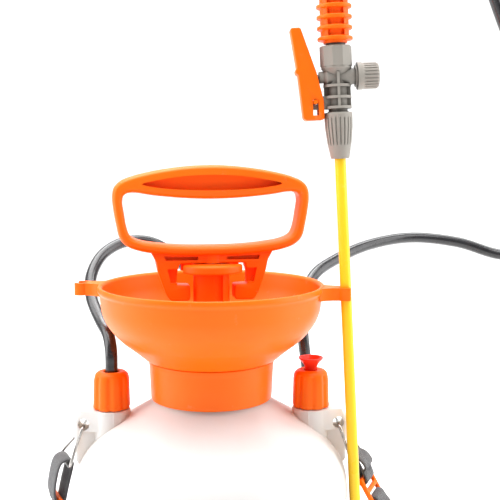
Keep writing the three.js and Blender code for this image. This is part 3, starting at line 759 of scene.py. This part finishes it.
def make_slider(side):
    top, half = SLIDER_TOP[side], WEB_WIDTH / 2
    outline = oblong(half + 3.5, -SLIDER_HIGH, 0)
    slots = [eased(oblong(half + 0.5, z, z + 5.5), 1.2) for z in (-8.5, -17)]
    made = slab(eased(outline, 3), 3, holes=slots, round=0.8)
    spun(made, PI / 2)
    spun(made, -SLIDER_TILT[side], "Y")
    shifted(made, SLIDER_X, 0, top)
    return piece(placed(made, strap_place(side)), "slider_" + SIDES[side], "tank")


def make_link(side):
    x, z = LINK_BAR
    ux, uz = 87.9, 242.9
    mx, mz = (ux + x) / 2, (uz + z) / 2
    half = [
        (ux, 0, uz, 0), (ux, 6.4, uz, 0), (ux + 0.6, 8.8, uz - 1.6, 0), (mx, 11, mz, 0.5),
        (x - 0.6, 13.4, z + 2.2, 1), (x, 12.2, z, 1), (x, 0, z, 1),
    ]  # fmt: skip
    back = [(a, -b, c, share) for a, b, c, share in half[-2:0:-1]]
    line = spline([strap_point(side, *point) for point in (*half, *back)], 8, closed=True)
    return piece(swept(line, circle(1.1, 12), closed=True), "strap_link_" + SIDES[side], "tank", smooth=60)


# Tank and base

DOME = [
    (TANK_R, 201), (93, 211), (90.4, 218.5), (86, 226.6), (79.5, 234), (71, 242), (53, 252), (38, 261),
]  # fmt: skip


def make_tank():
    foot = [(0, 3.3), (70, 3.3), (84, 6), (88.2, 12), (88.2, CUP_TOP + 0.6), (TANK_R, CUP_TOP + 1.4)]
    outside = eased([*foot, *DOME, (38, 270), (39, 272), (38, 274), (38, 288), (0, 288)], 6, 5, closed=False)
    shell = turned(outside, 160)
    wing = [
        (60, 226), (90, 216), (92.6, 218), (94, 236), (94, 248), (91.5, 252.8), (88, LUG_TOP), (60, LUG_TOP),
    ]  # fmt: skip
    fillet = [(66, -13), (80, -9.5), (90, -7), (90, 7), (80, 9.5), (66, 13)]
    boss = eased([(0, 228), (13, 228), (13, LUG_TOP), (0, LUG_TOP)], 1, closed=False)
    parts = []
    for turn in (0, PI):
        parts.append(spun(slab([(x, y) for x, y in eased(wing, 3, 4)], 14, round=2), turn))
        parts.append(spun(plate(fillet, 240, LUG_TOP), turn))
        parts.append(spun(shifted(turned(boss, 64), PORT_X), turn))
        parts.append(spun(shifted(rod(8.5, LUG_TOP - 1, STUB_TOP), PORT_X), turn))
    join(shell, *parts)
    floor = [(0, 5.8), (69, 5.8), (83, 9), (85.7, 13), (85.7, 32.4), (91.5, 33.8)]
    dome = [(91.5, 200.5), (88, 217), (77.3, 232), (69.4, 239.4), (34, 258), (34, 293), (0, 293)]
    tools = [turned([*floor, *dome], 120)]
    for side in (-1, 1):
        tools.append(shifted(rod(4.6, 225, STUB_TOP + 2), side * PORT_X))
        tools.append(shifted(along_y(rod(4, -20, 20)), side * 87.5, 0, 244.5))
    piece(cut(shell, *tools), "tank_shell", "tank", bevel=0.5)


def make_base():
    profile = [
        (0, 0), (88, 0), (91, 1.5), (TANK_R, 7), (TANK_R, CUP_TOP), (88.7, CUP_TOP), (88.7, 11.6),
        (84.5, 5.4), (70.2, 3), (0, 3),
    ]  # fmt: skip
    cup = turned(eased(profile, 1.2, 3, closed=False), 160)
    socket = shifted(rod(10, 0, 26, 64), LANCE_FOOT.x, LANCE_FOOT.y)
    web = spun(plate([(91, -6), (108, -8), (108, 8), (91, 6)], 0, 20), COLLAR_TURN * 1.18)
    bore = placed(rod(6.9, -15, 20), LANCE_PLACE)
    drain = shifted(rod(2, -5, 10), LANCE_FOOT.x + 0.6, LANCE_FOOT.y)
    piece(cut(join(cup, socket, web), bore, drain), "base_foot", "tank", bevel=0.6)


# Funnel, neck and handle


def funnel_ear(turn):
    flank = [(75.6, -12), (79, -8.6), (84, -6.4), (90, -5.6)]
    low, high = RIM_Z - 9, RIM_Z - 0.5
    arm = plate([*flank, *[(x, -y) for x, y in reversed(flank)]], low, high)
    ring = shifted(rod(7, low, high, 64), EAR_R)
    mouth = box((EAR_R, EAR_R + 10), (-3.1, 3.1), (RIM_Z - 12, RIM_Z + 3))
    tips = box((EAR_R + 3.6, EAR_R + 12), (-12, 12), (RIM_Z - 12, RIM_Z + 3))
    return spun(cut(join(arm, ring), mouth, tips), turn)


def make_collar():
    spigot = [(SPIGOT_R, COLLAR_TOP), (SPIGOT_R, FLANGE_TOP)]
    outside = [(41.7, STUB_TOP), (42.8, 284), (43.6, COLLAR_TOP), *spigot]
    inside = [(24, FLANGE_TOP), (24, 291), (39.5, 291), (39.5, STUB_TOP)]
    piece(turned(eased([*outside, *inside], 1.2, 4), 192), "funnel_collar", "tank")


def make_funnel():
    foot, socket = COLLAR_TOP + 0.3, SPIGOT_R + 0.3
    outside = [
        (44.6, foot), (53.5, 296.5), (61, 302), (66.6, 307.6), (71.8, 314.4), (75, 322), (76.5, 335),
        (78, 336.8), (77.4, RIM_Z),
    ]  # fmt: skip
    inside = [
        (75.6, RIM_Z), (74.4, 338.6), (73, 325), (69, 316), (60, 306.4), (45.6, FLANGE_TOP),
        (socket, FLANGE_TOP), (socket, foot),
    ]  # fmt: skip
    bowl = turned(eased([*outside, *inside], 5, 5), 192)
    join(bowl, funnel_ear(COLLAR_TURN), funnel_ear(PI + COLLAR_TURN))
    held = placed(rod(4.4, 290, 340), LANCE_PLACE)
    spare = spun(shifted(rod(4.4, RIM_Z - 12, RIM_Z + 3), EAR_R), PI + COLLAR_TURN)
    piece(cut(bowl, held, spare), "funnel_bowl", "tank", bevel=0.7)


def make_neck():
    profile = [
        (7.6, GUIDE_END), (9, GUIDE_END + 1.5), (9, 292), (17.2, 292), (17.2, 301.3), (27, 301.3),
        (27, 303), (25.5, 304), (14.5, 304), (12.5, 306), (12.5, DISC_LOW), (21.4, DISC_LOW),
        (22, DISC_LOW + 0.8), (22, DISC_TOP - 1), (21, DISC_TOP), (5.9, DISC_TOP), (5.9, GUIDE_END),
    ]  # fmt: skip
    neck = turned(eased(profile, 0.9), 128)
    notches = [box((13.1, 30), (-8.2, 8.2), (340, 360)), box((-30, -13.1), (-8.2, 8.2), (340, 360))]
    groove = spun(box((-2.9, 2.9), (-14, -10.3), (306, DISC_LOW)), math.radians(18))
    piece(cut(neck, *notches, groove), "pump_neck", "tank", bevel=0.4, place=HANDLE_PLACE)


def make_handle():
    outer = mirrored([
        (0, 360), (20, 360.4), (38, 362), (50, 364.3), (58, 367.5), (62.6, 372.5), (64.8, 381), (66.6, 391),
        (67.5, 400), (66.4, 406.5), (62.4, 411), (55, 414.3), (42, 417.6), (28, 420), (14, 421.5), (0, 422),
    ])  # fmt: skip
    window = mirrored([
        (0, 367), (20, 367.4), (38, 369), (50, 371.3), (55.6, 374.4), (58, 380), (59.8, 390), (60.8, 397.6),
        (59.6, 402), (55, 403.6), (40, 401.6), (20, 399.7), (0, 399),
    ])  # fmt: skip
    legs = mirrored([
        (0, 355), (22.6, 355), (23.8, 349), (24.3, 340.4), (15.4, 340), (15.2, 331), (16.6, 329.6),
        (28, 329.6), (29.8, 331), (31.8, 334.5), (34.2, 341), (37.2, 350), (38.6, 357), (42, 363), (0, 363),
    ])  # fmt: skip
    recess = mirrored([(0, 405), (20, 405.4), (38, 407), (48, 409.4), (40, 411.6), (20, 414.6), (0, 415.6)])
    loop = slab(smoothed(outer), HANDLE_DEPTH, holes=[smoothed(window)], round=5, edge=2.6, resolution=6)
    body = join(loop, slab(eased(legs, 1.2), 2 * HOOK_HALF, round=1), rod(8.2, DISC_TOP + 0.5, 365))
    band = [(10, 357.4), (10, 359.8), (33, 360.4), (32, 357.4)]
    strip = [(20, 341.8), (28.6, 341.8), (30.8, 351.6), (20, 351.6)]
    tools = [rod(5.9, 350, 364.4)]
    for face in (-1, 1):
        tools.append(shifted(slab(smoothed(recess), 14), y=face * (HANDLE_DEPTH / 2 + 0.5)))
        for side in (-1, 1):
            for outline in (band, strip):
                pocket = slab([(side * x, z) for x, z in outline], 8)
                tools.append(shifted(pocket, y=face * (HOOK_HALF - 0.5)))
    piece(cut(body, *tools), "pump_handle", "handle", bevel=0.5, place=HANDLE_PLACE)


# Ports


def lobes(count, depth, low, high, power=4, phase=0.0):
    """Soft grooves between lobes, fading out above and below the heights given."""

    def radial(angle, r, z):
        fade = min(1, max(0, (z - low) / 1.5 + 1)) * min(1, max(0, (high - z) / 1.5 + 1))
        return r - depth * fade * abs(math.cos(count * (angle + phase) / 2)) ** power

    return radial


def grooved(count, depth, low, high, reach=8, start=0.0):
    """Narrow cut grooves round a turned face that faces out beyond start."""

    def radial(angle, r, z):
        if r < start:
            return r
        fade = min(1, max(0, (z - low) / 0.8)) * min(1, max(0, (high - z) / 0.8))
        return r - depth * fade * min(1, max(0, math.cos(count * angle) * 0.5 + 0.5) ** reach * 1.6)

    return radial


def port_place(side):
    return Matrix.Translation((side * PORT_X, 0, 0))


def cap_nut(node, side, shoulder, hole):
    outside = [(12.9, LUG_TOP + 0.4), (12.75, 258), (12.4, 274), (11.6, 277.8), (9.2, 280)]
    inside = [(hole, 280), (hole, shoulder), (8.8, shoulder), (8.8, LUG_TOP + 0.4)]
    ridge = lobes(8, 1.15, LUG_TOP - 5, 276.5, power=5)
    radial = lambda a, r, z: ridge(a, r, z) if r > 9 else r
    profile = eased([*outside, *inside], 1.8, 5)
    piece(turned(profile, 192, radial), node, "tank", place=port_place(side))


def make_ports():
    cap_nut("outlet_nut", -1, 267.3, 5.1)
    cap_nut("relief_nut", 1, 277, 4.6)
    knob = [
        (0, 266.4), (6, 266.4), (6, 268.2), (4.2, 268.2), (4.2, 281.5), (4.7, 283), (6.6, 285.6),
        (8.5, 287.6), (8.6, 288.5), (7.4, 288.5), (3.4, 284.4), (0, 284),
    ]  # fmt: skip
    piece(turned(eased(knob, 0.7, closed=False), 96), "relief_knob", "relief", place=port_place(1))


# Lance and gun


def make_lance():
    piece(pipe(3.75, 2.6, 12.3, 442, 64), "lance_tube", "wand", place=LANCE_PLACE)
    body = [
        (3.9, -6), (3.9, 4), (5.4, 4.4), (5.6, 8), (5, 9.5), (5, 22), (4.05, 22), (4.05, 12), (1.2, 11),
        (1.2, -6),
    ]  # fmt: skip
    piece(turned(eased(body, 0.4), 64), "nozzle_body", "wand", place=LANCE_PLACE)
    tip = [(5.2, -12), (6, -10.8), (6, 2.3), (4.25, 2.3), (4.25, -7), (0.7, -9), (0.7, -10), (2.6, -12)]
    ridge = lobes(8, 0.8, -20, 20, power=4)
    radial = lambda a, r, z: ridge(a, r, z) if r > 5 else r
    piece(turned(eased(tip, 0.4), 128, radial), "nozzle_tip", "nozzle", place=LANCE_PLACE)


def make_lance_nut():
    profile = [
        (5.9, 0), (6.4, 1), (8.2, 11), (9.3, 21), (9.5, 30), (9.2, 31), (7.6, 31), (7.6, 14), (4.15, 12),
        (4.15, 0),
    ]  # fmt: skip
    dense = []
    for a, b in zip(profile, profile[1:]):
        steps = max(1, int(abs(b[1] - a[1]) / 0.7)) if a[0] > 5.9 and b[0] > 8 else 1
        dense += [(a[0] + (b[0] - a[0]) * i / steps, a[1] + (b[1] - a[1]) * i / steps) for i in range(steps)]
    dense.append(profile[-1])
    radial = grooved(20, 0.7, 9, 28, start=7.65)
    piece(turned(dense, 240, radial), "lance_nut", "wand", place=GUN_PLACE)


def make_valve():
    core = turned([
        (0, 20.1), (7.2, 20.1), (7.2, 31.3), (6.4, 32), (6.4, 56), (10.2, 60.5), (10.2, 63.5), (6.4, 75.5),
        (6.4, 84), (0, 84),
    ], 80)  # fmt: skip
    collar = turned([(0, 62), (10.8, 62), (10.8, 75), (10.3, 75.6), (0, 75.6)], 10)
    ribs = [rod(9.3, g - 0.9, g + 0.9, 80) for g in (34.4, 41.3, 49)]
    fins = [box((-0.9, 0.9), (-9, 9), (33.6, 58)), box((-9, 9), (-0.9, 0.9), (33.6, 56))]
    ear = box((PIVOT[0] - 3, -5), (-3.8, 3.8), (33.6, 42.2))
    branch = shifted(along_x(turned([
        (0, -12), (4, -12), (4, -9), (6.4, -7), (6.4, 7), (5.2, 11.8), (5.2, 19), (0, 19),
    ], 64)), z=PLUNGER_G)  # fmt: skip
    bores = [
        rod(4.15, 19, 35.5),
        rod(2.2, 35, 85),
        shifted(along_x(rod(2.4, -13, 5)), z=PLUNGER_G),
        shifted(along_x(rod(3.6, 4, 20)), z=PLUNGER_G),
        shifted(along_x(rod(3.4, -13, -9.4)), z=PLUNGER_G),
        shifted(along_y(rod(1.9, -6, 6)), PIVOT[0], 0, PIVOT[1]),
    ]
    made = cut(join(core, collar, *ribs, *fins, ear, branch), *bores)
    piece(made, "valve_body", "wand", bevel=0.3, place=GUN_PLACE)


def make_trigger():
    outline = [
        (-22.4, 26.2), (-10.9, 26.4), (-9.9, 27.4), (-9.9, 39), (-14, 58), (-23.3, 87.6), (-24.2, 88.4),
        (-29.4, 88.4), (-30.3, 87.4), (-26.9, 61.4), (-28.1, 59.9), (-27.7, 57.7), (-26.3, 57), (-24, 28),
    ]  # fmt: skip
    channel = [(-21.8, 28.4), (5, 28.4), (5, 86.2), (-28.1, 86.2), (-24.2, 58)]
    x, g = PIVOT
    slot = [(x - 1.9, 29.5), (x + 1.9, 29.5), (x + 1.9, g), (x - 1.9, g)]
    body = slab(eased(outline, 1.0), 12.8, round=0.9)
    hole = shifted(along_y(rod(1.9, -9, 9)), x, 0, g)
    made = cut(body, slab(channel, 8.8), slab(slot, 20), hole)
    piece(made, "trigger_lever", "trigger", bevel=0.25, place=GUN_PLACE)


def make_side_cap():
    profile = [(0, 19.6), (5.6, 19.6), (5.6, 13.6), (9.3, 13.6), (9.3, 16.6), (8.9, 17.2)]
    profile += [(8.9, 17.2 + 0.8 * i) for i in range(1, 12)] + [(8.9, 26.6), (7.9, 27.9), (0, 27.9)]
    radial = grooved(24, 0.55, 17.6, 27.4, reach=4, start=8.5)
    made = turned(profile, 288, radial)
    piece(along_x(made), "side_cap", "wand", place=GUN_PLACE @ Matrix.Translation((0, 0, PLUNGER_G)))


def make_grip():
    low, top, pitch = 77.3, 185, 7.2
    outside = [(8, low), (8, low + 1.8)]
    g = low + 2
    pockets = []
    while g < top - pitch:
        outside += [(11.9, g), (11.9, g + 2.2), (9.6, g + 2.8), (9.6, g + pitch - 0.4)]
        pockets.append(box((-5.4, 5.4), (-14, 14), (g + 2.8, g + pitch - 0.2)))
        g += pitch
    end = [
        (10.8, top - 6), (10.8, top), (7.4, top), (7.4, 196), (5.1, 196), (5.1, 181), (6.8, 179), (6.8, low),
    ]  # fmt: skip
    shell = turned(eased([*outside, *end], 0.7), 96)
    keep = pipe(7.9, 6.8, low, 180, 64)
    cut(shell, *pockets)
    piece(join(shell, keep), "grip_shell", "wand", bevel=0.3, place=GUN_PLACE)


def make_spring(node, radius, wire, ends, place):
    """A coil up Z, from its moving end to its fixed one."""
    low, high = ends
    turns, per_turn = 3, 24
    line = []
    for i in range(turns * per_turn + 1):
        angle, share = 2 * PI * i / per_turn, i / (turns * per_turn)
        z = low + wire + (high - low - 2 * wire) * share
        line.append(Vector((radius * math.cos(angle), radius * math.sin(angle), z)))
    spring = piece(swept(line, circle(wire, 10)), node, None, smooth=60, place=place)
    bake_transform(spring)


def make_springs():
    make_spring("relief_spring", 6.1, 0.5, (268.6, 276.7), port_place(1))
    branch = GUN_PLACE @ Matrix.Translation((0, 0, PLUNGER_G)) @ Matrix.Rotation(PI / 2, 4, "Y")
    make_spring("valve_spring", 2.5, 0.4, (7.3, 19.2), branch)


def make_tail_nut():
    nut = [(10.4, 186), (10.4, 198), (7.4, 209), (4.9, 209), (4.9, 199), (7.8, 199), (7.8, 186)]
    ridge = lobes(10, 0.8, 180, 203, power=4)
    radial = lambda a, r, z: ridge(a, r, z) if r > 7.85 else r
    piece(turned(eased(nut, 0.8), 160, radial), "hose_tail_nut", "wand", place=GUN_PLACE)


# Studio


def make_floor():
    n = Nodes("studio_floor")
    tone = n.ranged(n.noise(3, 2), 0.3, 0.7, 0.0, 1.0)
    n.surface(n.mix(tone, (0.92, 0.92, 0.92), (0.95, 0.95, 0.95)), 0.9)
    half, back, rise = 4.0, 3.0, 3.0
    verts = [(-half, -half, 0), (half, -half, 0)]
    for i in range(9):
        a = (PI / 2) * i / 8
        verts += [(x, back + math.sin(a), 1 - math.cos(a)) for x in (-half, half)]
    verts += [(-half, back + 1, rise), (half, back + 1, rise)]
    faces = [(2 * i, 2 * i + 1, 2 * i + 3, 2 * i + 2) for i in range(len(verts) // 2 - 1)]
    floor = linked("floor", verts, faces)
    floor.data.materials.append(n.material)
    shade(floor, 60)


def area_light(name, size, power, place, target, colour=(1, 1, 1)):
    data = bpy.data.lights.new(name, "AREA")
    data.shape = "RECTANGLE"
    data.size, data.size_y = size
    data.energy = power
    data.color = colour
    light = bpy.data.objects.new(name, data)
    light.location = place
    light.rotation_euler = (Vector(target) - Vector(place)).to_track_quat("-Z", "Y").to_euler()
    bpy.context.scene.collection.objects.link(light)


def make_studio():
    world = bpy.data.worlds.new("studio")
    world.use_nodes = True
    world.node_tree.nodes["Background"].inputs["Color"].default_value = (1, 1, 1, 1)
    world.node_tree.nodes["Background"].inputs["Strength"].default_value = 0.4
    bpy.context.scene.world = world
    aim = (0, 0, 0.33)
    area_light("left", (1.0, 1.6), 20, (-1.3, -0.05, 0.85), aim)
    area_light("right", (1.0, 1.6), 19, (1.35, -0.05, 0.85), aim)
    area_light("top", (1.4, 1.0), 25, (-0.05, -0.05, 1.4), aim)
    area_light("backdrop", (4.0, 1.0), 66, (0, 1.2, 2.6), (0, 3.4, 0.9))
    area_light("rear", (3.0, 1.0), 45, (0, 1.3, 2.2), (0, 1.2, 0))
    bpy.context.scene.view_settings.view_transform = "Standard"


make_camera()
dress_frame()
make_hose()
make_strap()
make_tank()
make_base()
make_collar()
make_funnel()
make_neck()
make_handle()
make_ports()
make_lance()
make_lance_nut()
make_valve()
make_trigger()
make_side_cap()
make_grip()
make_tail_nut()
make_springs()
make_floor()
make_studio()
